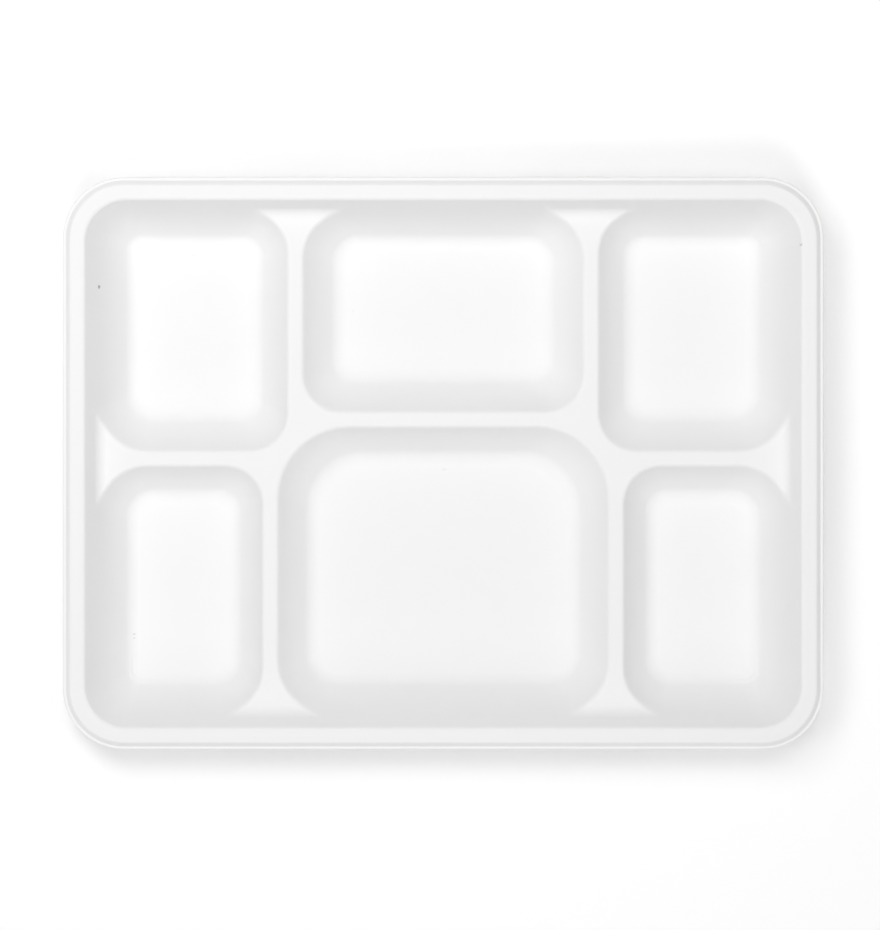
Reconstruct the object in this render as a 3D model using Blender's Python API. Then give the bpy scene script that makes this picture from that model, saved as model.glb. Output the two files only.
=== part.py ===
"""A shallow meal tray with six compartments, pressed in one piece from plant fibre pulp.

The tray lies flat with its long side along X. Its origin is the middle of its footprint, on the
surface that it stands on. Its upper face is one smooth height over the plan: a rim that turns down
into a wall, low dividers that flare where they meet this wall, and six hollows whose walls are
steep at the head, bend to a gentler slope and end in a round foot. Rings of points follow those
shapes, and the lower face runs one sheet thickness below the upper one.
"""

import math

import bmesh
import bpy
import numpy as np
from mathutils import Vector
from mathutils.geometry import delaunay_2d_cdt

# Driving sizes of the whole tray, in metres
TRAY_LENGTH = 0.320
TRAY_WIDTH = 0.2407
SHEET_THICKNESS = 0.0010
COMPARTMENT_DEPTH = 0.025
OUTER_CORNER_RADIUS = 0.0256
OUTER_CORNER_TAPER = 0.85

# The rim, from its outer edge inwards: a narrow lip, a small step up and a flat flange
LIP_WIDTH = 0.0014
STEP_WIDTH = 0.0020
STEP_RISE = 0.0020
STEP_FOOT_RADIUS = 0.0005
STEP_HEAD_RADIUS = 0.0014
FLANGE_WIDTH = 0.0060
FLANGE_EDGE_RADIUS = 0.0020

# The walls, which bend below the divider tops, and the hollows' feet
WALL_HEAD_ANGLE = math.radians(62.5)
WALL_FOOT_ANGLE = math.radians(52.0)
WALL_BEND_RADIUS = 0.080
FLOOR_FILLET_RADIUS = 0.0070

# The dividers: how far their tops lie below the rim, their width, and where they run
DIVIDER_DROP = 0.0090
DIVIDER_WIDTH = 0.0062
DIVIDER_EDGE_RADIUS = 0.0019
DIVIDER_FLARE_RADIUS = 0.0055
BACK_DIVIDER_X = 0.0628
FRONT_DIVIDER_X = 0.0734
SIDE_DIVIDER_Y = 0.0016
MIDDLE_DIVIDER_Y = 0.0182

# How far a wall beside a divider spreads in plan, as a multiple of the outer wall's spread
BACK_SPREAD = 1.31
FRONT_SPREAD = 1.20
MAIN_SPREAD = 1.22

# Corner radii of the hollows, level with the divider tops
INNER_CORNER_RADIUS = 0.0160
SIDE_WALL_CORNER_RADIUS = 0.0203
BACK_SMALL_CORNER_RADIUS = 0.0173
BACK_MIDDLE_CORNER_RADIUS = 0.0195
FRONT_SMALL_CORNER_RADIUS = 0.0188
FRONT_MAIN_CORNER_RADIUS = 0.0218
MAIN_INNER_CORNER_RADIUS = 0.0305

# How fast a corner radius shrinks as its outline is set inwards, as a share of that inset
INNER_CORNER_TAPER = 0.7
WALL_CORNER_TAPER = 0.87
MAIN_INNER_CORNER_TAPER = 0.6

# How finely the rings follow the shape
SEGMENTS_PER_HOLLOW_CORNER = 6
SEGMENTS_PER_RIM_CORNER = 8
FILLET_STEPS = 4
EDGE_STEPS = 3
FLARE_STEPS = 4
FLARE_POINT_SPACING = 0.0030
FLARE_CLEARANCE = 0.0003


def bend_reach(slope_before, slope_after, radius):
    """How far an arc between two slopes reaches to each side of their corner, along the plan."""
    first = math.atan(slope_before)
    second = math.atan(slope_after)
    tangent = radius * math.tan(abs(second - first) / 2)
    return tangent * math.cos(first), tangent * math.cos(second)


# Values worked out from the driving sizes
FLOOR_TOP = SHEET_THICKNESS
RIM_TOP = FLOOR_TOP + COMPARTMENT_DEPTH
LIP_TOP = RIM_TOP - STEP_RISE
HEAD_SLOPE = math.tan(WALL_HEAD_ANGLE)
FOOT_SLOPE = math.tan(WALL_FOOT_ANGLE)
STEP_HEAD_INSET = LIP_WIDTH + STEP_WIDTH
WALL_HEAD_INSET = STEP_HEAD_INSET + FLANGE_WIDTH
DIVIDER_INSET = WALL_HEAD_INSET + DIVIDER_DROP / HEAD_SLOPE
WALL_BEND_INSET = DIVIDER_INSET + bend_reach(-HEAD_SLOPE, -FOOT_SLOPE, WALL_BEND_RADIUS)[0]
WALL_BEND_DEPTH = (WALL_BEND_INSET - WALL_HEAD_INSET) * HEAD_SLOPE
FLOOR_INSET = WALL_BEND_INSET + (COMPARTMENT_DEPTH - WALL_BEND_DEPTH) / FOOT_SLOPE
HALF_LENGTH = TRAY_LENGTH / 2
HALF_WIDTH = TRAY_WIDTH / 2
GRADIENT_STEP = 1e-6
POINT_TOLERANCE = 1e-7
TINY = 1e-9

# A profile corner is its inset from the outer edge, the slope after it and its radius
RIM_CORNERS = [
    (LIP_WIDTH, STEP_RISE / STEP_WIDTH, STEP_FOOT_RADIUS),
    (STEP_HEAD_INSET, 0.0, STEP_HEAD_RADIUS),
    (WALL_HEAD_INSET, -HEAD_SLOPE, FLANGE_EDGE_RADIUS),
    (DIVIDER_INSET, 0.0, DIVIDER_FLARE_RADIUS),
]
HOLLOW_CORNERS = [
    (WALL_HEAD_INSET, -HEAD_SLOPE, FLANGE_EDGE_RADIUS),
    (WALL_BEND_INSET, -FOOT_SLOPE, WALL_BEND_RADIUS),
    (FLOOR_INSET, 0.0, FLOOR_FILLET_RADIUS),
]


def bend(distance, slope_before, slope_after, radius):
    """Height of two slopes that meet at distance 0, with an arc of the given radius between them."""
    first = math.atan(slope_before)
    side = 1.0 if slope_after > slope_before else -1.0
    reach_before, reach_after = bend_reach(slope_before, slope_after, radius)
    centre = -reach_before - side * radius * math.sin(first)
    centre_height = -slope_before * reach_before + side * radius * math.cos(first)
    arc = centre_height - side * np.sqrt(np.maximum(radius**2 - (distance - centre) ** 2, 0.0))
    height = np.where(distance < -reach_before, slope_before * distance, arc)
    return np.where(distance > reach_after, slope_after * distance, height)


def profile_height(inset, start_height, corners):
    """Height along a line of straight runs with rounded corners, which starts level."""
    height = np.full(np.shape(inset), start_height)
    slope = 0.0
    for place, next_slope, radius in corners:
        along = inset - place
        height = height + bend(along, slope, next_slope, radius) - slope * along
        slope = next_slope
    return height


class RoundedRectangle:
    """Nested outlines: a rectangle with a radius at each corner, and the same outline set inwards.

    The corners are listed anticlockwise from the one at +X +Y, each as a radius and a taper: the
    radius shrinks by the taper times the inset, so a taper of 1 gives a parallel outline. The
    spreads, for the left, right, front and back side, say how far each side moves for an inset.
    """

    QUADRANTS = ((1, 1), (-1, 1), (-1, -1), (1, -1))

    def __init__(self, left, right, front, back, corners, spreads=(1.0, 1.0, 1.0, 1.0)):
        self.centre = ((left + right) / 2, (front + back) / 2)
        self.half = ((right - left) / 2, (back - front) / 2)
        self.corners = corners
        self.spreads = [
            (spreads[1 if side_x > 0 else 0], spreads[3 if side_y > 0 else 2])
            for side_x, side_y in self.QUADRANTS
        ]

    def inset(self, x, y):
        """At which inset the outline passes through each point: the lesser of the two sides' insets,
        or inside a corner's arc the root of a quadratic."""
        from_x = self.half[0] - np.abs(x - self.centre[0])
        from_y = self.half[1] - np.abs(y - self.centre[1])
        result = np.zeros(np.shape(x))
        for (side_x, side_y), (radius, taper), (spread_x, spread_y) in zip(
            self.QUADRANTS, self.corners, self.spreads
        ):
            mine = ((x - self.centre[0]) * side_x >= 0) & ((y - self.centre[1]) * side_y >= 0)
            result = np.where(mine, np.minimum(from_x / spread_x, from_y / spread_y), result)
            widening_x = spread_x - taper
            widening_y = spread_y - taper
            across = radius - from_x
            along = radius - from_y
            square = widening_x**2 + widening_y**2 - taper**2
            linear = widening_x * across + widening_y * along + taper * radius
            constant = across**2 + along**2 - radius**2
            root = np.sqrt(np.maximum(linear**2 - square * constant, 0.0))
            rounded = -constant / np.maximum(linear + root, TINY)
            in_arc = (across + widening_x * rounded > 0) & (along + widening_y * rounded > 0)
            result = np.where(mine & in_arc, rounded, result)
        return result

    def ring(self, inset, segments):
        """Points along the outline set inwards by the inset, anticlockwise, with arcs in segments."""
        points = []
        for number, (side_x, side_y) in enumerate(self.QUADRANTS):
            radius, taper = self.corners[number]
            spread_x, spread_y = self.spreads[number]
            arc_radius = radius - taper * inset
            middle_x = self.centre[0] + side_x * (self.half[0] - spread_x * inset - arc_radius)
            middle_y = self.centre[1] + side_y * (self.half[1] - spread_y * inset - arc_radius)
            for step in range(segments + 1):
                angle = math.pi / 2 * (number + step / segments)
                points.append(
                    (middle_x + arc_radius * math.cos(angle), middle_y + arc_radius * math.sin(angle))
                )
        return points


def build_outlines():
    """The tray's own outline and the mouths of the six hollows, level with the divider tops."""
    outer = (OUTER_CORNER_RADIUS, OUTER_CORNER_TAPER)
    rim = RoundedRectangle(-HALF_LENGTH, HALF_LENGTH, -HALF_WIDTH, HALF_WIDTH, [outer] * 4)
    corner = (OUTER_CORNER_RADIUS - OUTER_CORNER_TAPER * DIVIDER_INSET, OUTER_CORNER_TAPER)
    side_x = HALF_LENGTH - DIVIDER_INSET
    side_y = HALF_WIDTH - DIVIDER_INSET
    half = DIVIDER_WIDTH / 2
    inner = (INNER_CORNER_RADIUS, INNER_CORNER_TAPER)
    side = (SIDE_WALL_CORNER_RADIUS, WALL_CORNER_TAPER)
    back_small = (BACK_SMALL_CORNER_RADIUS, WALL_CORNER_TAPER)
    back_middle = (BACK_MIDDLE_CORNER_RADIUS, WALL_CORNER_TAPER)
    front_small = (FRONT_SMALL_CORNER_RADIUS, WALL_CORNER_TAPER)
    front_main = (FRONT_MAIN_CORNER_RADIUS, WALL_CORNER_TAPER)
    main_inner = (MAIN_INNER_CORNER_RADIUS, MAIN_INNER_CORNER_TAPER)

    back_left = RoundedRectangle(
        -side_x,
        -BACK_DIVIDER_X - half,
        SIDE_DIVIDER_Y + half,
        side_y,
        [back_small, corner, side, inner],
        (1.0, BACK_SPREAD, BACK_SPREAD, 1.0),
    )
    back_middle_hollow = RoundedRectangle(
        -BACK_DIVIDER_X + half,
        BACK_DIVIDER_X - half,
        MIDDLE_DIVIDER_Y + half,
        side_y,
        [back_middle, back_middle, inner, inner],
        (BACK_SPREAD, BACK_SPREAD, BACK_SPREAD, 1.0),
    )
    back_right = RoundedRectangle(
        BACK_DIVIDER_X + half,
        side_x,
        SIDE_DIVIDER_Y + half,
        side_y,
        [corner, back_small, inner, side],
        (BACK_SPREAD, 1.0, BACK_SPREAD, 1.0),
    )
    front_left = RoundedRectangle(
        -side_x,
        -FRONT_DIVIDER_X - half,
        -side_y,
        SIDE_DIVIDER_Y - half,
        [inner, side, corner, front_small],
        (1.0, FRONT_SPREAD, 1.0, FRONT_SPREAD),
    )
    front_main_hollow = RoundedRectangle(
        -FRONT_DIVIDER_X + half,
        FRONT_DIVIDER_X - half,
        -side_y,
        MIDDLE_DIVIDER_Y - half,
        [main_inner, main_inner, front_main, front_main],
        (MAIN_SPREAD, MAIN_SPREAD, 1.0, MAIN_SPREAD),
    )
    front_right = RoundedRectangle(
        FRONT_DIVIDER_X + half,
        side_x,
        -side_y,
        SIDE_DIVIDER_Y - half,
        [side, inner, front_small, corner],
        (FRONT_SPREAD, 1.0, 1.0, FRONT_SPREAD),
    )
    return rim, [back_left, back_middle_hollow, back_right, front_left, front_main_hollow, front_right]


def gradient(height, x, y):
    """Slopes of a height function along X and along Y."""
    step = GRADIENT_STEP
    return (
        (height(x + step, y) - height(x - step, y)) / (2 * step),
        (height(x, y + step) - height(x, y - step)) / (2 * step),
    )


def upper_height(x, y, rim, hollows):
    """Height of the upper face: the rim and dividers, cut by each hollow with a rounded edge.

    The rounding is as wide as the two surfaces' slopes differ, so that a hollow's outer wall, which
    lies in the rim's own wall, joins it with no mark.
    """

    def rim_height(px, py):
        return profile_height(rim.inset(px, py), LIP_TOP, RIM_CORNERS)

    rim_level = rim_height(x, y)
    rim_slopes = gradient(rim_height, x, y)
    result = rim_level
    edge_reach = 2 * DIVIDER_EDGE_RADIUS / HEAD_SLOPE
    for hollow in hollows:

        def hollow_height(px, py, outline=hollow):
            return profile_height(outline.inset(px, py) + DIVIDER_INSET, RIM_TOP, HOLLOW_CORNERS)

        hollow_slopes = gradient(hollow_height, x, y)
        difference = np.hypot(rim_slopes[0] - hollow_slopes[0], rim_slopes[1] - hollow_slopes[1])
        width = np.maximum(DIVIDER_EDGE_RADIUS * difference / HEAD_SLOPE, TINY)
        hollow_level = hollow_height(x, y)
        overlap = np.maximum(width - np.abs(rim_level - hollow_level), 0.0)
        cut = np.minimum(rim_level, hollow_level) - overlap**2 / (4 * width)
        result = np.where(hollow.inset(x, y) > -edge_reach, cut, result)
    return result


def ring_insets(corner, steps):
    """Insets of the rings along one rounded profile corner."""
    place, before, after, radius = corner
    reach_before, reach_after = bend_reach(before, after, radius)
    return [place - reach_before + (reach_before + reach_after) * step / steps for step in range(steps + 1)]


def plan_rings(rim, hollows):
    """Every ring of points in plan, as a list of (points, closed)."""
    step_slope = STEP_RISE / STEP_WIDTH
    rim_insets = (
        [0.0]
        + ring_insets((LIP_WIDTH, 0.0, step_slope, STEP_FOOT_RADIUS), 1)
        + ring_insets((STEP_HEAD_INSET, step_slope, 0.0, STEP_HEAD_RADIUS), 2)
        + ring_insets((WALL_HEAD_INSET, 0.0, -HEAD_SLOPE, FLANGE_EDGE_RADIUS), EDGE_STEPS)
    )
    rings = [(rim.ring(inset, SEGMENTS_PER_RIM_CORNER), True) for inset in rim_insets]

    edge = DIVIDER_EDGE_RADIUS / HEAD_SLOPE
    mouth_insets = [-edge + 2 * edge * step / EDGE_STEPS for step in range(EDGE_STEPS + 1)]
    bend_inset = WALL_BEND_INSET - DIVIDER_INSET
    foot = (FLOOR_INSET - DIVIDER_INSET, -FOOT_SLOPE, 0.0, FLOOR_FILLET_RADIUS)
    for hollow in hollows:
        for inset in mouth_insets + [bend_inset] + ring_insets(foot, FILLET_STEPS):
            rings.append((hollow.ring(inset, SEGMENTS_PER_HOLLOW_CORNER), True))

    flare = (DIVIDER_INSET, -HEAD_SLOPE, 0.0, DIVIDER_FLARE_RADIUS)
    for inset in ring_insets(flare, FLARE_STEPS):
        rings += flare_lines(rim, hollows, inset, edge)
    return rings


def flare_lines(rim, hollows, inset, edge):
    """Short lines of points along the rim's wall, only where the dividers reach it."""
    half_x = rim.half[0] - inset
    half_y = rim.half[1] - inset
    count_x = round(2 * half_x / FLARE_POINT_SPACING)
    count_y = round(2 * half_y / FLARE_POINT_SPACING)
    along_x = [(-half_x + 2 * half_x * n / count_x) for n in range(count_x + 1)]
    along_y = [(-half_y + 2 * half_y * n / count_y) for n in range(count_y + 1)]
    sides = [[(x, side * half_y) for x in along_x] for side in (-1, 1)]
    sides += [[(side * half_x, y) for y in along_y] for side in (-1, 1)]
    lines = []
    for side in sides:
        x, y = np.array(side).T
        free = np.abs(rim.inset(x, y) - inset) < POINT_TOLERANCE
        for hollow in hollows:
            into_hollow = hollow.inset(x, y)
            free &= into_hollow < -edge - FLARE_CLEARANCE
            free &= into_hollow < inset - DIVIDER_INSET - FLARE_CLEARANCE
        line = []
        for point, is_free in zip(side, free):
            if is_free:
                line.append(point)
            elif line:
                lines.append((line, False))
                line = []
    return lines


def build_plan(rim, hollows):
    """Joins the rings into triangles in plan, and gives the points and the triangles."""
    points = []
    edges = []
    for ring, closed in plan_rings(rim, hollows):
        first = len(points)
        points += ring
        last = len(points) - 1
        edges += [(number, number + 1) for number in range(first, last)]
        if closed:
            edges.append((last, first))
    flat = [Vector(point) for point in points]
    found, _, triangles, *_ = delaunay_2d_cdt(flat, edges, [], 0, POINT_TOLERANCE, False)
    return np.array([tuple(point) for point in found]), triangles


def build_tray():
    """Lifts the plan to the upper face, sets the lower face below it and closes the outer edge."""
    rim, hollows = build_outlines()
    plan, triangles = build_plan(rim, hollows)
    x, y = plan.T

    def height(px, py):
        return upper_height(px, py, rim, hollows)

    z = height(x, y)
    slope_x, slope_y = gradient(height, x, y)
    length = np.sqrt(1.0 + slope_x**2 + slope_y**2)
    upper = np.column_stack((x, y, z))
    normals = np.column_stack((-slope_x, -slope_y, np.ones_like(z))) / length[:, None]
    lower = upper - SHEET_THICKNESS * normals

    shape = bmesh.new()
    top = [shape.verts.new(point) for point in upper]
    bottom = [shape.verts.new(point) for point in lower]
    for triangle in triangles:
        shape.faces.new([top[corner] for corner in triangle])
        shape.faces.new([bottom[corner] for corner in reversed(triangle)])
    open_edges = [edge for edge in shape.edges if edge.is_boundary]
    bmesh.ops.bridge_loops(shape, edges=open_edges)
    bmesh.ops.triangulate(shape, faces=[face for face in shape.faces if len(face.verts) > 3])
    bmesh.ops.recalc_face_normals(shape, faces=shape.faces)

    mesh = bpy.data.meshes.new("tray")
    shape.to_mesh(mesh)
    shape.free()
    mesh.shade_smooth()
    mesh.set_sharp_from_angle(angle=math.radians(40))
    tray = bpy.data.objects.new("tray", mesh)
    bpy.context.scene.collection.objects.link(tray)
    return tray


def fibre_material():
    """Bleached, pressed plant fibre: white and matt."""
    material = bpy.data.materials.new("pressed_fibre")
    material.use_nodes = True
    shader = material.node_tree.nodes["Principled BSDF"]
    shader.inputs["Base Color"].default_value = (0.84, 0.84, 0.83, 1.0)
    shader.inputs["Roughness"].default_value = 0.75
    shader.inputs["Metallic"].default_value = 0.0
    return material


for old in list(bpy.data.objects):
    bpy.data.objects.remove(old, do_unlink=True)

build_tray().data.materials.append(fibre_material())
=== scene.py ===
"""A compartment meal tray of pressed plant fibre, lying on a white table under soft light."""

import math

import bpy
import numpy as np
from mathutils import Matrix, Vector
from mathutils.geometry import delaunay_2d_cdt


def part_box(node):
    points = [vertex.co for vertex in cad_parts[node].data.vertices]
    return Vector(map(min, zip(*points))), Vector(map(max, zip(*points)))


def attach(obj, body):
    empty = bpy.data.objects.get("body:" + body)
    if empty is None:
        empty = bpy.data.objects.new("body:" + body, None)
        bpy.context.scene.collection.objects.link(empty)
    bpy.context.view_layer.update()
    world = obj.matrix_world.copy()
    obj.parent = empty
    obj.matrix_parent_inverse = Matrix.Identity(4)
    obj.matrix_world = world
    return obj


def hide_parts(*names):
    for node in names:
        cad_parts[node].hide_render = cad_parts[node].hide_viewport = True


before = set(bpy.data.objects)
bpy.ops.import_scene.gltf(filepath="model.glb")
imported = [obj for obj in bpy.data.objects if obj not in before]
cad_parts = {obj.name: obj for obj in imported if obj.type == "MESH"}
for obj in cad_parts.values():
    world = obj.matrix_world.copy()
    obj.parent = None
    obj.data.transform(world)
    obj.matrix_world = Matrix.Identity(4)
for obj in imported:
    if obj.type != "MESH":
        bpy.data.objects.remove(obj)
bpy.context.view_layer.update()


# The tray: one sheet of bleached plant fibre, sucked as pulp onto a wire form and pressed hot
# between two tools. Its upper face is smooth, its lower face keeps the wire's weave, and a die
# trims its edge.

tray_low, tray_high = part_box("tray")
HALF_LENGTH = tray_high.x
HALF_WIDTH = tray_high.y
RIM_TOP = tray_high.z
SHEET_THICKNESS = 0.0010
FLOOR_TOP = tray_low.z + SHEET_THICKNESS
COMPARTMENT_DEPTH = RIM_TOP - FLOOR_TOP

OUTER_CORNER_RADIUS = 0.0256
OUTER_CORNER_TAPER = 0.85
LIP_WIDTH = 0.0014
STEP_WIDTH = 0.0020
STEP_RISE = 0.0020
STEP_FOOT_RADIUS = 0.0005
STEP_HEAD_RADIUS = 0.0014
FLANGE_WIDTH = 0.0060
FLANGE_EDGE_RADIUS = 0.0020
WALL_HEAD_SLOPE = math.tan(math.radians(62.5))
WALL_FOOT_SLOPE = math.tan(math.radians(52.0))
WALL_BEND_RADIUS = 0.080
FLOOR_FILLET_RADIUS = 0.0070

DIVIDER_DROP = 0.0090
DIVIDER_HALF_WIDTH = 0.0062 / 2
DIVIDER_EDGE_RADIUS = 0.0019
DIVIDER_FLARE_RADIUS = 0.0055
BACK_RUN = 1.31
FRONT_RUN = 1.20
MAIN_RUN = 1.22
BACK_DIVIDER_X = 0.0628
FRONT_DIVIDER_X = 0.0734
SIDE_DIVIDER_Y = 0.0016
MIDDLE_DIVIDER_Y = 0.0182


def arc_reach(slope_before, slope_after, radius):
    """How far the arc between two slopes reaches to each side of their corner: the tangent's length,
    radius times the tangent of half the turn, shortened by each slope's cosine."""
    first, second = math.atan(slope_before), math.atan(slope_after)
    tangent = radius * math.tan(abs(second - first) / 2)
    return tangent * math.cos(first), tangent * math.cos(second)


STEP_HEAD_INSET = LIP_WIDTH + STEP_WIDTH
WALL_HEAD_INSET = STEP_HEAD_INSET + FLANGE_WIDTH
DIVIDER_INSET = WALL_HEAD_INSET + DIVIDER_DROP / WALL_HEAD_SLOPE
WALL_BEND_INSET = DIVIDER_INSET + arc_reach(-WALL_HEAD_SLOPE, -WALL_FOOT_SLOPE, WALL_BEND_RADIUS)[0]
WALL_BEND_DEPTH = (WALL_BEND_INSET - WALL_HEAD_INSET) * WALL_HEAD_SLOPE
FLOOR_INSET = WALL_BEND_INSET + (COMPARTMENT_DEPTH - WALL_BEND_DEPTH) / WALL_FOOT_SLOPE
MOUTH_REACH = DIVIDER_EDGE_RADIUS / WALL_HEAD_SLOPE

# Each corner of a profile: its inset from the edge, the slope after it and its radius
RIM_PROFILE = [
    (LIP_WIDTH, STEP_RISE / STEP_WIDTH, STEP_FOOT_RADIUS),
    (STEP_HEAD_INSET, 0.0, STEP_HEAD_RADIUS),
    (WALL_HEAD_INSET, -WALL_HEAD_SLOPE, FLANGE_EDGE_RADIUS),
    (DIVIDER_INSET, 0.0, DIVIDER_FLARE_RADIUS),
]
HOLLOW_PROFILE = [
    (WALL_HEAD_INSET, -WALL_HEAD_SLOPE, FLANGE_EDGE_RADIUS),
    (WALL_BEND_INSET, -WALL_FOOT_SLOPE, WALL_BEND_RADIUS),
    (FLOOR_INSET, 0.0, FLOOR_FILLET_RADIUS),
]

# Corner radii of the hollows level with the divider tops, each with its taper
TRAY_CORNER = (OUTER_CORNER_RADIUS - OUTER_CORNER_TAPER * DIVIDER_INSET, OUTER_CORNER_TAPER)
INNER_CORNER = (0.0160, 0.7)
SIDE_WALL_CORNER = (0.0203, 0.87)
BACK_SMALL_CORNER = (0.0173, 0.87)
BACK_MIDDLE_CORNER = (0.0195, 0.87)
FRONT_SMALL_CORNER = (0.0188, 0.87)
FRONT_MAIN_CORNER = (0.0218, 0.87)
MAIN_INNER_CORNER = (0.0305, 0.6)

# Unevenness of the pressed sheet
FLOOR_WAVE = 0.00010
RIM_WAVE = 0.00006
WAVE_LENGTHS = (0.030, 0.070)
WAVE_COUNT = 9
WAVE_SEED = 11
TRIM_WAVE = 0.00007
TRIM_WAVES_ROUND = (7, 19, 43, 71)
TRIM_PHASE = 1.7
TRIM_FADE = 0.0010

# The pressing creases round the outer foot of both front side compartments
CREASED_CORNERS = (("front_left", 2), ("front_right", 3))
CREASE_INSET = 0.0253 - DIVIDER_INSET
CREASE_SPACING = 0.0022
CREASE_HEIGHT = 0.00009
CREASE_BREADTH = 0.0014
CREASE_LENGTH = 0.0085

# How far the trimmed edge bulges out, and how many rows of faces go round it
EDGE_ROUNDING = 0.00035
EDGE_ROWS = 8

# How closely the mesh follows the sheet: spacings, steps round a corner and rings over a rounding
RING_SPACING = 0.0028
FLOOR_SPACING = 0.0040
FLOOR_CLEARANCE = 0.4 * FLOOR_SPACING
FLARE_CLEARANCE = 0.0003
HOLLOW_ARC_STEPS = 10
RIM_ARC_STEPS = 22
LIP_INSET = 0.0008
FLANGE_INSET = 0.0060
WALL_INSETS = [0.0025, 0.0045, 0.0065]
STEP_FOOT_RINGS = 4
STEP_HEAD_RINGS = 7
FLANGE_EDGE_RINGS = 8
MOUTH_RINGS = 9
FLARE_RINGS = 11
FLOOR_FILLET_RINGS = 13
CREASE_RINGS_BESIDE = 9
CREASE_RING_SPACING = 0.00025
CREASE_POINT_SPACING = RING_SPACING / 2
CREASE_ARC_STEPS = 3 * HOLLOW_ARC_STEPS
CREASE_REACH = 1.5 * CREASE_LENGTH

# Small distances: the step for slopes, how near two points are one, and the least divisor
SLOPE_STEP = 1e-6
SAME_PLACE = 1e-7
TINY = 1e-9


def rounded_corner(along, slope_before, slope_after, radius):
    """Height of two straight slopes that meet at 0: the first line up to the arc, the second line
    after it, and between them the circle that touches both."""
    first = math.atan(slope_before)
    side = 1.0 if slope_after > slope_before else -1.0
    reach_before, reach_after = arc_reach(slope_before, slope_after, radius)
    centre = -reach_before - side * radius * math.sin(first)
    centre_height = -slope_before * reach_before + side * radius * math.cos(first)
    arc = centre_height - side * np.sqrt(np.maximum(radius**2 - (along - centre) ** 2, 0.0))
    height = np.where(along < -reach_before, slope_before * along, arc)
    return np.where(along > reach_after, slope_after * along, height)


def profile_height(inset, start, corners):
    """Height over the inset of a line that starts level: each corner adds its rounded corner less
    the line that would have gone straight on."""
    height = np.full(np.shape(inset), start)
    slope = 0.0
    for place, next_slope, radius in corners:
        along = inset - place
        height = height + rounded_corner(along, slope, next_slope, radius) - slope * along
        slope = next_slope
    return height


class Outline:
    """A rounded rectangle and the same outline set inwards. Corners run anticlockwise from +X +Y,
    each a radius and a taper: set inwards, the radius shrinks by the taper times the inset. Each
    side, left, right, front and back, moves by its own run times the inset."""

    QUADRANTS = ((1, 1), (-1, 1), (-1, -1), (1, -1))

    def __init__(self, left, right, front, back, corners, runs=(1.0, 1.0, 1.0, 1.0)):
        self.centre = np.array([(left + right) / 2, (front + back) / 2])
        self.half = np.array([(right - left) / 2, (back - front) / 2])
        self.corners = corners
        self.runs = [(runs[1 if x > 0 else 0], runs[3 if y > 0 else 2]) for x, y in self.QUADRANTS]

    def inset(self, x, y):
        """The least distance to a side or, inside a corner's arc, the inset at which that arc, of
        radius less taper times inset, passes through the point: the root of a quadratic."""
        from_x = self.half[0] - np.abs(x - self.centre[0])
        from_y = self.half[1] - np.abs(y - self.centre[1])
        result = np.zeros(np.shape(x))
        quarters = zip(self.QUADRANTS, self.corners, self.runs)
        for (side_x, side_y), (radius, taper), (run_x, run_y) in quarters:
            mine = ((x - self.centre[0]) * side_x >= 0) & ((y - self.centre[1]) * side_y >= 0)
            result = np.where(mine, np.minimum(from_x / run_x, from_y / run_y), result)
            widen_x, widen_y = run_x - taper, run_y - taper
            across, along = radius - from_x, radius - from_y
            square = widen_x**2 + widen_y**2 - taper**2
            linear = widen_x * across + widen_y * along + taper * radius
            constant = across**2 + along**2 - radius**2
            root = np.sqrt(np.maximum(linear**2 - square * constant, 0.0))
            rounded = -constant / np.maximum(linear + root, TINY)
            in_arc = (across + widen_x * rounded > 0) & (along + widen_y * rounded > 0)
            result = np.where(mine & in_arc, rounded, result)
        return result

    def arc(self, corner, inset, steps):
        """Points of one corner's arc at an inset: its middle, plus radius times cosine and sine."""
        radius, taper = self.corners[corner]
        bent = radius - taper * inset
        moved = np.array(self.runs[corner]) * inset
        middle = self.centre + np.array(self.QUADRANTS[corner]) * (self.half - moved - bent)
        angle = math.pi / 2 * (corner + np.arange(steps + 1) / steps)
        return middle + bent * np.column_stack((np.cos(angle), np.sin(angle)))

    def ring(self, inset, steps, spacing):
        """The whole outline at an inset, anticlockwise: four arcs joined by evenly parted lines."""
        arcs = [self.arc(corner, inset, steps) for corner in range(4)]
        counts = 2 * np.maximum(np.round(self.half / spacing), 2).astype(int)
        parts = []
        for corner in range(4):
            start, end = arcs[corner][-1], arcs[(corner + 1) % 4][0]
            share = np.linspace(0.0, 1.0, counts[corner % 2] + 1)[1:-1, None]
            parts += [arcs[corner], start + (end - start) * share]
        return np.vstack(parts)


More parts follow.
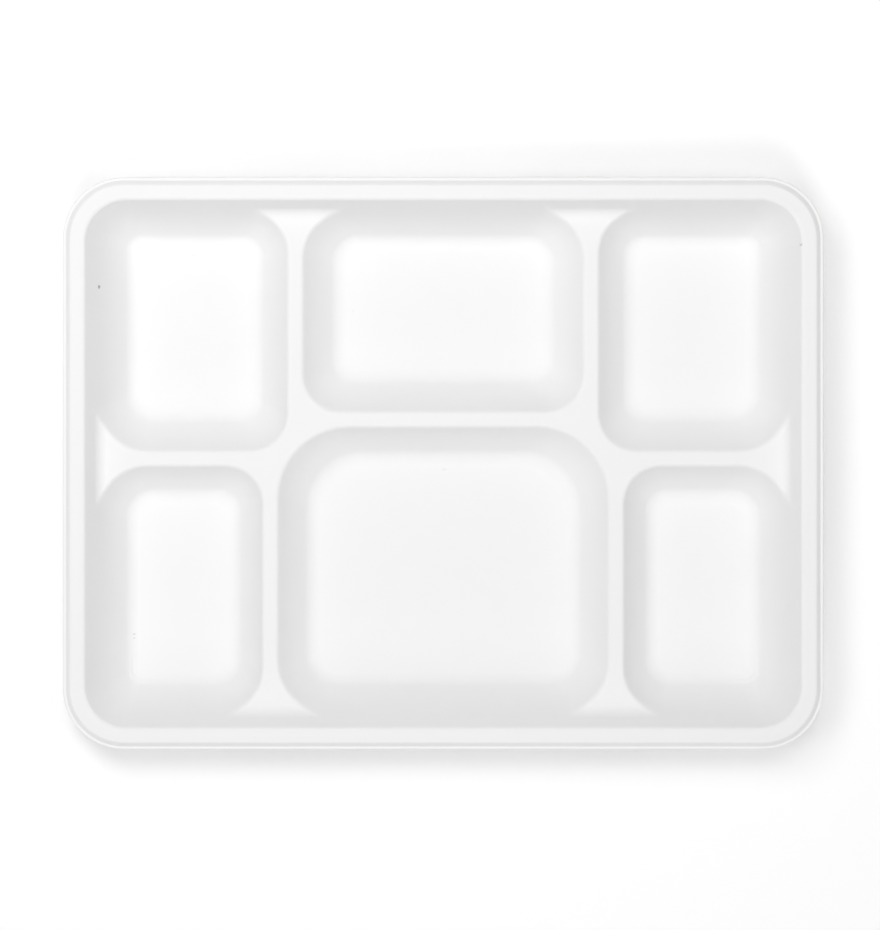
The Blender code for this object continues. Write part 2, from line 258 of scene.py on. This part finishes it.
def tray_outlines():
    """The tray's own outline, and the mouths of the six hollows between walls and dividers."""
    outer_corners = [(OUTER_CORNER_RADIUS, OUTER_CORNER_TAPER)] * 4
    rim = Outline(-HALF_LENGTH, HALF_LENGTH, -HALF_WIDTH, HALF_WIDTH, outer_corners)
    wall_x, wall_y = HALF_LENGTH - DIVIDER_INSET, HALF_WIDTH - DIVIDER_INSET
    back_x, front_x = BACK_DIVIDER_X, FRONT_DIVIDER_X
    side_y, middle_y = SIDE_DIVIDER_Y, MIDDLE_DIVIDER_Y
    half = DIVIDER_HALF_WIDTH
    back_corners = [BACK_SMALL_CORNER, TRAY_CORNER, SIDE_WALL_CORNER, INNER_CORNER]
    front_corners = [INNER_CORNER, SIDE_WALL_CORNER, TRAY_CORNER, FRONT_SMALL_CORNER]
    middle_corners = [BACK_MIDDLE_CORNER] * 2 + [INNER_CORNER] * 2
    main_corners = [MAIN_INNER_CORNER] * 2 + [FRONT_MAIN_CORNER] * 2
    mirrored_back, mirrored_front = (
        [corners[n] for n in (1, 0, 3, 2)] for corners in (back_corners, front_corners)
    )
    hollows = {
        "back_left": Outline(
            -wall_x,
            -back_x - half,
            side_y + half,
            wall_y,
            back_corners,
            (1, BACK_RUN, BACK_RUN, 1),
        ),
        "back_middle": Outline(
            -back_x + half,
            back_x - half,
            middle_y + half,
            wall_y,
            middle_corners,
            (BACK_RUN, BACK_RUN, BACK_RUN, 1),
        ),
        "back_right": Outline(
            back_x + half,
            wall_x,
            side_y + half,
            wall_y,
            mirrored_back,
            (BACK_RUN, 1, BACK_RUN, 1),
        ),
        "front_left": Outline(
            -wall_x,
            -front_x - half,
            -wall_y,
            side_y - half,
            front_corners,
            (1, FRONT_RUN, 1, FRONT_RUN),
        ),
        "front_main": Outline(
            -front_x + half,
            front_x - half,
            -wall_y,
            middle_y - half,
            main_corners,
            (MAIN_RUN, MAIN_RUN, 1, MAIN_RUN),
        ),
        "front_right": Outline(
            front_x + half,
            wall_x,
            -wall_y,
            side_y - half,
            mirrored_front,
            (FRONT_RUN, 1, 1, FRONT_RUN),
        ),
    }
    return rim, hollows


rim, hollows = tray_outlines()


def slopes_of(height, x, y):
    """Slopes along X and Y: the difference across a thousandth of a millimetre each way."""
    step = SLOPE_STEP
    along_x = (height(x + step, y) - height(x - step, y)) / (2 * step)
    along_y = (height(x, y + step) - height(x, y - step)) / (2 * step)
    return along_x, along_y


def pressed_height(x, y):
    """Height of the pressed face: the rim's profile over the rim's inset, cut by each hollow's
    profile. Where two of them meet, the lesser is taken, less the square of their overlap over four
    times the rounding's width, and that width follows the difference of their slopes."""

    def rim_height(px, py):
        return profile_height(rim.inset(px, py), RIM_TOP - STEP_RISE, RIM_PROFILE)

    level = rim_height(x, y)
    rim_slopes = slopes_of(rim_height, x, y)
    result = level
    for hollow in hollows.values():

        def hollow_height(px, py, outline=hollow):
            return profile_height(outline.inset(px, py) + DIVIDER_INSET, RIM_TOP, HOLLOW_PROFILE)

        hollow_slopes = slopes_of(hollow_height, x, y)
        difference = np.hypot(rim_slopes[0] - hollow_slopes[0], rim_slopes[1] - hollow_slopes[1])
        width = np.maximum(DIVIDER_EDGE_RADIUS * difference / WALL_HEAD_SLOPE, TINY)
        cut_level = hollow_height(x, y)
        overlap = np.maximum(width - np.abs(level - cut_level), 0.0)
        cut = np.minimum(level, cut_level) - overlap**2 / (4 * width)
        result = np.where(hollow.inset(x, y) > -2 * MOUTH_REACH, cut, result)
    return result


waves = np.random.default_rng(WAVE_SEED)
wave_angle = waves.uniform(0.0, math.pi, WAVE_COUNT)
wave_number = 2 * math.pi / waves.uniform(*WAVE_LENGTHS, WAVE_COUNT)
wave_start = waves.uniform(0.0, 2 * math.pi, WAVE_COUNT)


def sheet_wave(x, y):
    """A gentle wave between 0 and 1: the mean of nine plane waves, moved up by one and halved."""
    along = np.multiply.outer(x, np.cos(wave_angle)) + np.multiply.outer(y, np.sin(wave_angle))
    return 0.5 + 0.5 * np.sin(along * wave_number + wave_start).mean(axis=-1)


def crease_relief(x, y):
    """Two low creases round a floor's outer corner: a sine over the inset, faded by a bell across
    them and by a flatter one along them, to the fourth power, measured from the arc's middle."""
    relief = np.zeros(np.shape(x))
    for name, corner in CREASED_CORNERS:
        outline = hollows[name]
        inset = outline.inset(x, y)
        middle = outline.arc(corner, CREASE_INSET, 2)[1]
        across = (inset - CREASE_INSET) / CREASE_BREADTH
        along = np.hypot(x - middle[0], y - middle[1]) / CREASE_LENGTH
        sine = -np.sin(2 * math.pi * (inset - CREASE_INSET) / CREASE_SPACING)
        relief += CREASE_HEIGHT * sine * np.exp(-(across**2) - along**4)
    return relief


def sheet_height(x, y):
    """The pressed face as it comes off the tool: floors lifted and the rim let down by the wave,
    by the fourth power of how low or high the place lies, and the creases added."""
    level = pressed_height(x, y)
    lowness = np.clip((RIM_TOP - level) / COMPARTMENT_DEPTH, 0.0, 1.0) ** 4
    highness = np.clip((level - FLOOR_TOP) / COMPARTMENT_DEPTH, 0.0, 1.0) ** 4
    wave = sheet_wave(x, y)
    return level + wave * (FLOOR_WAVE * lowness - RIM_WAVE * highness) + crease_relief(x, y)


def insets_round(corner_place, slope_before, slope_after, radius, steps):
    """Insets of the rings over one rounded corner, evenly parted from its arc's start to its end."""
    before, after = arc_reach(slope_before, slope_after, radius)
    return list(np.linspace(corner_place - before, corner_place + after, steps + 1))


def flare_lines(inset):
    """Lines along the rim's own wall at an inset, kept only where no hollow cuts it away."""
    lines = []
    for axis in (0, 1):
        reach = rim.half[axis] - inset
        along = np.linspace(-reach, reach, 2 * round(reach / FLOOR_SPACING * 2) + 1)
        for side in (-1, 1):
            line = np.empty((len(along), 2))
            line[:, axis] = along
            line[:, 1 - axis] = side * (rim.half[1 - axis] - inset)
            free = np.abs(rim.inset(*line.T) - inset) < SAME_PLACE
            for hollow in hollows.values():
                into = hollow.inset(*line.T) + FLARE_CLEARANCE
                free &= (into < -MOUTH_REACH) & (into < inset - DIVIDER_INSET)
            cuts = np.flatnonzero(np.diff(free.astype(int))) + 1
            runs = zip(np.split(line, cuts), np.split(free, cuts))
            lines += [run for run, kept in runs if kept[0]]
    return lines


def plan_lines():
    """Every line of points in plan, with whether it closes: rings that follow each rounding of the
    rim and of the hollows, the flares' lines, the creases' arcs and a loose grid on the floors."""
    rise = STEP_RISE / STEP_WIDTH
    rim_insets = (
        [EDGE_ROUNDING, LIP_INSET]
        + insets_round(LIP_WIDTH, 0.0, rise, STEP_FOOT_RADIUS, STEP_FOOT_RINGS)
        + insets_round(STEP_HEAD_INSET, rise, 0.0, STEP_HEAD_RADIUS, STEP_HEAD_RINGS)
        + [FLANGE_INSET]
        + insets_round(WALL_HEAD_INSET, 0.0, -WALL_HEAD_SLOPE, FLANGE_EDGE_RADIUS, FLANGE_EDGE_RINGS)
    )
    lines = [(rim.ring(inset, RIM_ARC_STEPS, RING_SPACING), True) for inset in rim_insets]
    foot = FLOOR_INSET - DIVIDER_INSET
    hollow_insets = (
        list(np.linspace(-MOUTH_REACH, MOUTH_REACH, MOUTH_RINGS))
        + WALL_INSETS
        + insets_round(foot, -WALL_FOOT_SLOPE, 0.0, FLOOR_FILLET_RADIUS, FLOOR_FILLET_RINGS)
    )
    for hollow in hollows.values():
        for inset in hollow_insets:
            lines += [(hollow.ring(inset, HOLLOW_ARC_STEPS, RING_SPACING), True)]
        counts = np.round(2 * hollow.half / FLOOR_SPACING).astype(int)
        spans = [np.linspace(-reach, reach, n) for reach, n in zip(hollow.half, counts)]
        grid = np.meshgrid(*spans)
        floor = hollow.centre + np.column_stack([axis.ravel() for axis in grid])
        floor = floor[hollow.inset(*floor.T) > hollow_insets[-1] + FLOOR_CLEARANCE]
        lines += [(floor, None)]
    flare_insets = insets_round(DIVIDER_INSET, -WALL_HEAD_SLOPE, 0.0, DIVIDER_FLARE_RADIUS, FLARE_RINGS)
    for inset in flare_insets:
        lines += [(line, False) for line in flare_lines(inset)]
    crease_rings = np.arange(-CREASE_RINGS_BESIDE, CREASE_RINGS_BESIDE + 1) * CREASE_RING_SPACING
    for name, corner in CREASED_CORNERS:
        for inset in crease_rings + CREASE_INSET:
            ring = hollows[name].ring(inset, CREASE_ARC_STEPS, CREASE_POINT_SPACING)
            middle = hollows[name].arc(corner, CREASE_INSET, 2)[1]
            near = np.hypot(*(ring - middle).T) < CREASE_REACH
            lines += [(ring[near], None)]
    return lines


def triangulated_plan():
    """Joins the plan's lines into triangles, none of which crosses a ring, and gives the points, the
    triangles and the outermost ring's places among the points."""
    points, edges, first = [], [], 0
    lines = plan_lines()
    for line, closed in lines:
        number = first + np.arange(len(line))
        if closed is not None:
            edges += [np.column_stack((number[:-1], number[1:]))]
        if closed:
            edges += [np.array([[number[-1], number[0]]])]
        points += [line]
        first += len(line)
    flat = list(map(Vector, np.vstack(points).tolist()))
    joined = delaunay_2d_cdt(flat, np.vstack(edges).tolist(), [], 0, SAME_PLACE, True)
    found, triangles, sources = np.array(joined[0]), np.array(joined[2]), joined[3]
    shared = np.repeat(np.arange(len(found)), [len(source) for source in sources])
    place = np.zeros(first, int)
    place[np.concatenate(sources).astype(int)] = shared
    return found, triangles, place[: len(lines[0][0])]


def outward(x, y):
    """The direction away from the tray's middle across its outline: minus the slope of the inset."""
    slope_x, slope_y = slopes_of(rim.inset, x, y)
    length = np.maximum(np.hypot(slope_x, slope_y), TINY)
    return -slope_x / length, -slope_y / length


def trimmed(points):
    """Moves points near the trimmed edge a little inwards, by the mean of four sines of the way
    round it plus one, with the move fading out over the lip."""
    x, y = points[:, 0], points[:, 1]
    turn = np.arctan2(y / HALF_WIDTH, x / HALF_LENGTH)
    uneven = sum(np.sin(turn * count + TRIM_PHASE * count) for count in TRIM_WAVES_ROUND)
    fade = np.clip(1.0 - rim.inset(x, y) / TRIM_FADE, 0.0, 1.0)
    move = TRIM_WAVE * (1.0 + uneven / len(TRIM_WAVES_ROUND)) * fade
    out_x, out_y = outward(x, y)
    return np.column_stack((x - out_x * move, y - out_y * move, points[:, 2]))


def unit(vectors):
    """Vectors divided by their lengths."""
    return vectors / np.linalg.norm(vectors, axis=1)[:, None]


def tray_sheet():
    """Points, triangles, their kinds and the normals of the sheet. The upper face is the height over the
    plan, the lower one lies one thickness below it along its normals, and the trimmed edge is half
    an ellipse from one to the other, carried round the outline."""
    plan, triangles, rim_places = triangulated_plan()
    x, y = plan.T
    slope_x, slope_y = slopes_of(sheet_height, x, y)
    normals = unit(np.column_stack((-slope_x, -slope_y, np.ones(len(x)))))
    upper = np.column_stack((x, y, sheet_height(x, y)))
    lower = upper - SHEET_THICKNESS * normals
    lower[:, 2] = np.maximum(lower[:, 2], tray_low.z)

    angle = np.linspace(math.pi / 2, -math.pi / 2, EDGE_ROWS + 1)[1:-1, None]
    edge_x, edge_y = upper[rim_places, 0], upper[rim_places, 1]
    out_x, out_y = outward(edge_x, edge_y)
    middle = (upper[rim_places, 2] + lower[rim_places, 2]) / 2
    row_x = edge_x + out_x * EDGE_ROUNDING * np.cos(angle)
    row_y = edge_y + out_y * EDGE_ROUNDING * np.cos(angle)
    row_z = middle + SHEET_THICKNESS / 2 * np.sin(angle)
    rows = np.column_stack((row_x.ravel(), row_y.ravel(), row_z.ravel()))
    lean = np.cos(angle) / EDGE_ROUNDING
    rise = np.sin(angle) / (SHEET_THICKNESS / 2) * np.ones_like(out_x)
    across = [(out_x * lean).ravel(), (out_y * lean).ravel(), rise.ravel()]
    row_normals = unit(np.column_stack(across))

    count, around = len(plan), len(rim_places)
    strip = np.arange(len(rows)).reshape(-1, around) + 2 * count
    strip = np.vstack((rim_places, strip, rim_places + count))
    here, there = strip, np.roll(strip, -1, axis=1)
    halves = (here[:-1], here[1:], there[1:]), (here[:-1], there[1:], there[:-1])
    edge_faces = np.concatenate([np.stack(half, axis=-1).reshape(-1, 3) for half in halves])

    points = trimmed(np.vstack((upper, lower, rows)))
    faces = np.vstack((triangles, triangles[:, ::-1] + count, edge_faces))
    kinds = np.repeat([0, 1, 2], [len(triangles), len(triangles), len(edge_faces)])
    return points, faces, kinds, np.vstack((normals, -normals, row_normals))


def mesh_object(name, points, faces, kinds=None, normals=None):
    """A smooth mesh at the origin from arrays of points and triangles, with each triangle's material
    place and each point's normal where they are given."""
    mesh = bpy.data.meshes.new(name)
    mesh.from_pydata(points.tolist(), [], faces.tolist())
    mesh.shade_smooth()
    if kinds is not None:
        mesh.polygons.foreach_set("material_index", kinds.astype(np.int32))
    if normals is not None:
        mesh.normals_split_custom_set_from_vertices(normals.tolist())
    mesh.update()
    made = bpy.data.objects.new(name, mesh)
    bpy.context.scene.collection.objects.link(made)
    return made


# The kinds in their order: colour, cloudiness, fibre height, gloss and height of the wire's weave
FACE_FINISHES = {
    "upper_face": ((0.83, 0.83, 0.83, 1.0), 0.012, 0.000012, 0.35, 0.0),
    "wire_side": ((0.800, 0.800, 0.794, 1.0), 0.03, 0.00003, 0.25, 0.00002),
    "trimmed_edge": ((0.780, 0.779, 0.770, 1.0), 0.06, 0.00005, 0.2, 0.0),
}
FIBRE_TURNS = (18.0, 77.0, 139.0)
FIBRE_LENGTH = 0.0026
FIBRE_BREADTH = 0.00028
FIBRE_DETAIL = 1.0
FIBRE_NOISE_ENDS = (0.3, 0.8)
FIBRE_ROUGHNESS = (0.78, 0.66)
CLOUD_SIZE = 0.011
CLOUD_DETAIL = 3.0
WIRE_PITCH = 0.00075
WIRE_TURN = 3.0


def joined_node(tree, kind, links=(), **settings):
    """A node with its plain settings, its numbered or named sockets set, and its links made."""
    node = tree.nodes.new(kind)
    for name, value in settings.items():
        if name == "sockets":
            for socket, number in value.items():
                node.inputs[socket].default_value = number
        else:
            setattr(node, name, value)
    for socket, source in dict(links).items():
        tree.links.new(source, node.inputs[socket])
    return node


def pulp_group():
    """Pressed pulp on Object coordinates: long thin noise laid in three directions and the greatest
    of the three taken gives the fibres, and slow noise gives the cloudy thickness of the sheet."""
    group = bpy.data.node_groups.new("pulp", "ShaderNodeTree")
    group.interface.new_socket("Colour", in_out="INPUT", socket_type="NodeSocketColor")
    group.interface.new_socket("Cloudiness", in_out="INPUT", socket_type="NodeSocketFloat")
    group.interface.new_socket("Fibre Height", in_out="INPUT", socket_type="NodeSocketFloat")
    group.interface.new_socket("Colour", in_out="OUTPUT", socket_type="NodeSocketColor")
    group.interface.new_socket("Height", in_out="OUTPUT", socket_type="NodeSocketFloat")
    group.interface.new_socket("Roughness", in_out="OUTPUT", socket_type="NodeSocketFloat")
    inward = group.nodes.new("NodeGroupInput")
    place = group.nodes.new("ShaderNodeTexCoord").outputs["Object"]
    fibres = None
    for turn in FIBRE_TURNS:
        laid = joined_node(
            group,
            "ShaderNodeMapping",
            {"Vector": place},
            sockets={
                "Rotation": (0.0, 0.0, math.radians(turn)),
                "Scale": (1 / FIBRE_LENGTH, 1 / FIBRE_BREADTH, 1 / FIBRE_LENGTH),
            },
        )
        noise = joined_node(
            group,
            "ShaderNodeTexNoise",
            {"Vector": laid.outputs[0]},
            sockets={"Scale": 1.0, "Detail": FIBRE_DETAIL},
        )
        strand = noise.outputs["Fac"]
        if fibres is None:
            fibres = strand
        else:
            both = joined_node(group, "ShaderNodeMath", {0: fibres, 1: strand}, operation="MAXIMUM")
            fibres = both.outputs[0]
    cloud = joined_node(
        group,
        "ShaderNodeTexNoise",
        {"Vector": place},
        sockets={"Scale": 1 / CLOUD_SIZE, "Detail": CLOUD_DETAIL},
    )
    uneven = joined_node(
        group,
        "ShaderNodeMath",
        {0: cloud.outputs["Fac"], 1: inward.outputs["Cloudiness"]},
        operation="MULTIPLY",
    )
    darkening = joined_node(
        group,
        "ShaderNodeMath",
        {1: uneven.outputs[0]},
        operation="SUBTRACT",
        sockets={0: 1.0},
    )
    shaded = joined_node(
        group,
        "ShaderNodeVectorMath",
        {0: inward.outputs["Colour"], "Scale": darkening.outputs[0]},
        operation="SCALE",
    )
    height = joined_node(
        group,
        "ShaderNodeMath",
        {0: fibres, 1: inward.outputs["Fibre Height"]},
        operation="MULTIPLY",
    )
    roughness = joined_node(
        group,
        "ShaderNodeMapRange",
        {"Value": fibres},
        sockets={
            "From Min": FIBRE_NOISE_ENDS[0],
            "From Max": FIBRE_NOISE_ENDS[1],
            "To Min": FIBRE_ROUGHNESS[0],
            "To Max": FIBRE_ROUGHNESS[1],
        },
    )
    out = group.nodes.new("NodeGroupOutput")
    group.links.new(shaded.outputs[0], out.inputs["Colour"])
    group.links.new(height.outputs[0], out.inputs["Height"])
    group.links.new(roughness.outputs[0], out.inputs["Roughness"])
    return group


pulp = pulp_group()


def fibre_material(name, colour, cloudiness, fibre_height, gloss, wire_height=0.0):
    """Pressed fibre: the pulp group's colour, roughness and height, with a bump from that height, to
    which the underside adds the product of two sines, the weave of the forming wire."""
    material = bpy.data.materials.new(name)
    material.use_nodes = True
    tree = material.node_tree
    shader = tree.nodes["Principled BSDF"]
    shader.inputs["Specular IOR Level"].default_value = gloss
    surface = joined_node(
        tree, "ShaderNodeGroup", node_tree=pulp, sockets={0: colour, 1: cloudiness, 2: fibre_height}
    )
    height = surface.outputs["Height"]
    if wire_height:
        place = joined_node(
            tree,
            "ShaderNodeMapping",
            {"Vector": tree.nodes.new("ShaderNodeTexCoord").outputs["Object"]},
            sockets={
                "Scale": [2 * math.pi / WIRE_PITCH] * 3,
                "Rotation": (0.0, 0.0, math.radians(WIRE_TURN)),
            },
        )
        parts = joined_node(tree, "ShaderNodeSeparateXYZ", {0: place.outputs[0]})
        warp, weft = (
            joined_node(tree, "ShaderNodeMath", {0: parts.outputs[axis]}, operation="SINE").outputs[0]
            for axis in (0, 1)
        )
        weave = joined_node(tree, "ShaderNodeMath", {0: warp, 1: weft}, operation="MULTIPLY")
        raised = joined_node(
            tree,
            "ShaderNodeMath",
            {0: weave.outputs[0], 2: height},
            operation="MULTIPLY_ADD",
            sockets={1: wire_height},
        )
        height = raised.outputs[0]
    bump = joined_node(
        tree,
        "ShaderNodeBump",
        {"Height": height},
        sockets={"Strength": 1.0, "Distance": 1.0},
    )
    tree.links.new(surface.outputs["Colour"], shader.inputs["Base Color"])
    tree.links.new(surface.outputs["Roughness"], shader.inputs["Roughness"])
    tree.links.new(bump.outputs["Normal"], shader.inputs["Normal"])
    return material


tray = mesh_object("pressed_tray", *tray_sheet())
for name, finish in FACE_FINISHES.items():
    tray.data.materials.append(fibre_material(name, *finish))
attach(tray, "root")
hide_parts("tray")


# Husk flecks: bits of brown plant skin that the pulp keeps through bleaching. They are pressed into
# the upper face with the fibre and stand two hundredths of a millimetre proud of it.

HUSK_TONES = {
    "husk": (0.44, 0.41, 0.36, 1.0),
    "pale_husk": (0.66, 0.64, 0.60, 1.0),
    "faint_husk": (0.800, 0.797, 0.790, 1.0),
}
# The flecks' cloudiness, fibre height and gloss
HUSK_FINISH = (0.03, 0.000012, 0.3)
FLECK_RISE = 0.00002
FLECK_SINK = 0.00006
FLECK_AROUND = 14
FLECK_RINGS = [0.5, 1.0, 0.5]
FLECK_BOW = [1.0, 0.75, 0.0, -0.75, -1.0]
FLECK_WOBBLE = (0.16, 0.10)
FLECK_SEED = 5
# Each fleck: its place in plan, its length and breadth, its turn in degrees, and its tone's place
FLECKS = [
    (-0.14600, 0.07445, 0.0016, 0.0007, 88.0, 0),
    (0.15025, 0.09190, 0.0012, 0.0009, 70.0, 1),
    (-0.13380, -0.07540, 0.0012, 0.0006, 5.0, 1),
    (-0.13380, -0.07710, 0.0009, 0.0005, 10.0, 1),
    (-0.10790, 0.08870, 0.0017, 0.0011, 20.0, 2),
    (-0.03910, 0.06450, 0.0015, 0.0010, 80.0, 2),
    (0.00040, -0.00410, 0.0024, 0.0009, 3.0, 2),
]


def fleck_shapes():
    """One closed lens for each fleck, with the sheet's own normals: rings of an uneven ellipse in
    plan, their height the sheet's plus a share of the rise above it or of the depth below it."""
    draw = np.random.default_rng(FLECK_SEED)
    angle = 2 * math.pi * np.arange(FLECK_AROUND) / FLECK_AROUND
    points, faces, kinds, normals, first = [], [], [], [], 0
    for x, y, length, breadth, turn, tone in FLECKS:
        wobble = 1 + FLECK_WOBBLE[0] * np.sin(3 * angle + draw.uniform(0, 6))
        wobble = wobble + FLECK_WOBBLE[1] * np.sin(5 * angle + draw.uniform(0, 6))
        half_length, half_breadth = length / 2 * wobble, breadth / 2 * wobble
        shape = np.column_stack((half_length * np.cos(angle), half_breadth * np.sin(angle)))
        lean = math.radians(turn)
        shape = shape @ np.array([[math.cos(lean), math.sin(lean)], [-math.sin(lean), math.cos(lean)]])
        share = np.array(FLECK_RINGS)[:, None, None]
        rings = (np.array([x, y]) + share * shape).reshape(-1, 2)
        flat = np.vstack(([x, y], rings, [x, y]))
        bow = np.repeat(FLECK_BOW, [1, FLECK_AROUND, FLECK_AROUND, FLECK_AROUND, 1])
        rise = np.where(bow > 0, FLECK_RISE, FLECK_SINK) * bow
        points += [np.column_stack((flat, sheet_height(*flat.T) + rise))]
        slope_x, slope_y = slopes_of(sheet_height, *flat.T)
        upward = unit(np.column_stack((-slope_x, -slope_y, np.ones(len(flat)))))
        normals += [np.where(bow < 0, -1.0, 1.0)[:, None] * upward]
        ring = 1 + np.arange(3 * FLECK_AROUND).reshape(3, -1)
        after = np.roll(ring, -1, axis=1)
        last = 3 * FLECK_AROUND + 1
        top = np.column_stack((np.zeros(FLECK_AROUND, int), ring[0], after[0]))
        bottom = np.column_stack((np.full(FLECK_AROUND, last), after[2], ring[2]))
        sides = [np.column_stack((ring[n], ring[n + 1], after[n + 1])) for n in (0, 1)]
        sides += [np.column_stack((ring[n], after[n + 1], after[n])) for n in (0, 1)]
        block = np.vstack([top, bottom] + sides)
        faces += [block + first]
        kinds += [np.full(len(block), tone)]
        first += last + 1
    return np.vstack(points), np.vstack(faces), np.concatenate(kinds), np.vstack(normals)


flecks = mesh_object("husk_flecks", *fleck_shapes())
for name, tone in HUSK_TONES.items():
    flecks.data.materials.append(fibre_material(name, tone, *HUSK_FINISH))
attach(flecks, "root")


# The table under the tray: one wide sheet of matt white card, laid level. The tray only stands on
# it, and the tray's shadow is all that shows there.

TABLE_REACH = 8.0
TABLE_WHITE = (0.99, 0.99, 0.99, 1.0)
TABLE_ROUGHNESS = 0.9
TABLE_GLOSS = 0.1

table_plan = TABLE_REACH * np.array([[-1, -1], [1, -1], [1, 1], [-1, 1]])
table_points = np.column_stack((table_plan, np.full(4, tray_low.z)))
table = mesh_object("white_table", table_points, np.array([[0, 1, 2], [0, 2, 3]]))
table_card = bpy.data.materials.new("white_card")
table_card.use_nodes = True
card_shader = table_card.node_tree.nodes["Principled BSDF"]
card_shader.inputs["Base Color"].default_value = TABLE_WHITE
card_shader.inputs["Roughness"].default_value = TABLE_ROUGHNESS
card_shader.inputs["Specular IOR Level"].default_value = TABLE_GLOSS
table.data.materials.append(table_card)


# Light: a white room with soft boxes round the tray. The near one and the steep one at the back are
# the strongest, so the shadow on the table falls to the front and to the right.

ROOM_LIGHT = 0.396
# Each soft box: its place, its size and its power
SOFT_BOXES = {
    "near_back_left": ((-0.20, 0.30, 0.60), 0.3, 1.09),
    "left": ((-0.9, 0.0, 1.4), 0.6, 2.99),
    "right": ((0.9, 0.0, 1.4), 0.6, 2.87),
    "back": ((0.0, 0.56, 1.4), 0.5, 3.78),
    "front": ((0.0, -0.9, 1.4), 0.6, 2.74),
    "far_front": ((0.0, -2.5, 2.5), 1.8, 16.5),
}

world = bpy.data.worlds.new("room")
bpy.context.scene.world = world
world.use_nodes = True
world.node_tree.nodes["Background"].inputs["Color"].default_value = (1.0, 1.0, 1.0, 1.0)
world.node_tree.nodes["Background"].inputs["Strength"].default_value = ROOM_LIGHT
for name, (place, size, power) in SOFT_BOXES.items():
    lamp = bpy.data.lights.new(name, "AREA")
    lamp.shape = "DISK"
    lamp.size = size
    lamp.energy = power
    box = bpy.data.objects.new(name, lamp)
    box.location = place
    box.rotation_mode = "QUATERNION"
    box.rotation_quaternion = (-Vector(place)).to_track_quat("-Z", "Y")
    bpy.context.scene.collection.objects.link(box)


# Camera: it looks straight down from over the back compartments, with its picture shifted so that
# the tray is in the middle.

CAMERA_Y = 0.0498
CAMERA_OVER_RIM = 0.750
LENS_MM = 69.24
SENSOR_WIDTH_MM = 36.0
PICTURE_HEIGHT = 930.0
SHIFT_PIXELS = (-3.2, -120.0)

lens = bpy.data.cameras.new("camera")
lens.lens = LENS_MM
lens.sensor_width = SENSOR_WIDTH_MM
lens.shift_x = SHIFT_PIXELS[0] / PICTURE_HEIGHT
lens.shift_y = SHIFT_PIXELS[1] / PICTURE_HEIGHT
camera = bpy.data.objects.new("camera", lens)
camera.location = (0.0, CAMERA_Y, RIM_TOP + CAMERA_OVER_RIM)
bpy.context.scene.collection.objects.link(camera)
bpy.context.scene.camera = camera

bpy.context.scene.view_settings.view_transform = "Standard"
bpy.context.scene.view_settings.look = "None"
bpy.context.scene.view_settings.exposure = 0.0
bpy.context.scene.view_settings.gamma = 1.0
